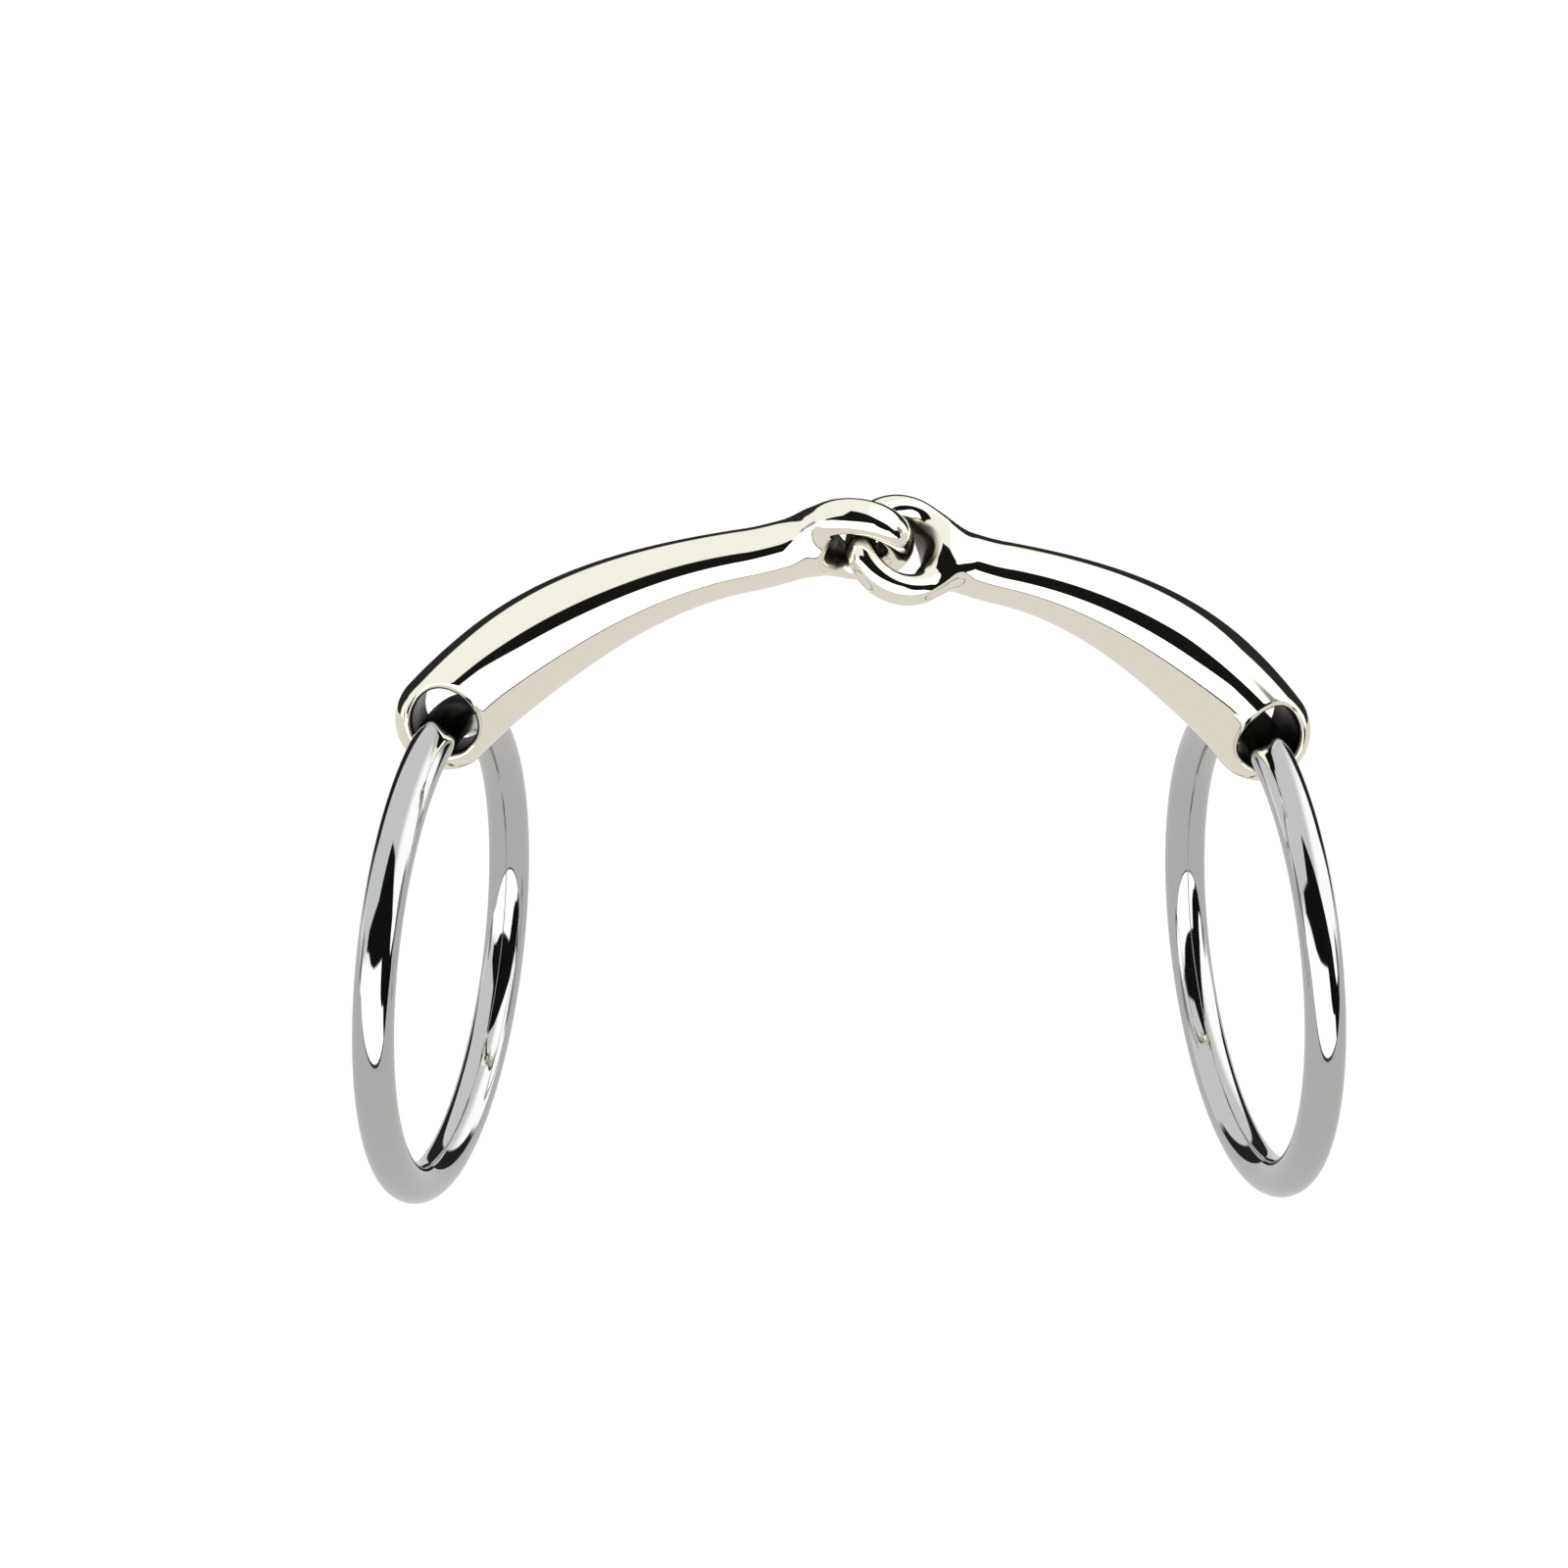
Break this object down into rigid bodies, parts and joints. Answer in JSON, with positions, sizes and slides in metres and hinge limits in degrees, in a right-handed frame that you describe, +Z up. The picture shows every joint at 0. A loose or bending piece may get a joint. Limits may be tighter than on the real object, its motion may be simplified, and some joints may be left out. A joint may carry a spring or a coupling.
{
  "type": "snaffle bit",
  "caption": "Loose ring snaffle bit: curved mouthpiece halves hooked together by a central link, with a round ring running through a bore at each end.",
  "frame": {"origin": "centre of the whole bit's bounding box, with the rings hanging", "axes": "+Z up, +X along the bit towards its right cannon, +Y to the rear, away from the viewer"},
  "size_m": [0.1468, 0.093, 0.1216],
  "materials": {
    "mouthpiece_alloy": "mirror-polished pale gold copper alloy",
    "ring_steel": "polished stainless steel"
  },
  "bodies": {
    "left_cannon": {"left_cannon": "mouthpiece_alloy"},
    "right_cannon": {"right_cannon": "mouthpiece_alloy"},
    "left_ring": {"left_ring": "ring_steel"},
    "right_ring": {"right_ring": "ring_steel"}
  },
  "joints": [
    {"name": "centre_fold", "type": "hinge", "parent": "left_cannon", "child": "right_cannon", "pos_m": [0.0022, -0.00798, 0.05046], "axis": [-0.0809, 0.929, 0.3611], "range_deg": [-48, 16]},
    {"name": "left_ring_swing", "type": "hinge", "parent": "left_cannon", "child": "left_ring", "pos_m": [-0.05972, -0.00245, 0.02152], "axis": [0.2458, 0.9504, -0.1908], "range_deg": [-35, 180]},
    {"name": "right_ring_swing", "type": "hinge", "parent": "right_cannon", "child": "right_ring", "pos_m": [0.06094, 0.01082, 0.01327], "axis": [0.25, -0.9668, 0.0523], "range_deg": [-35, 180]}
  ]
}
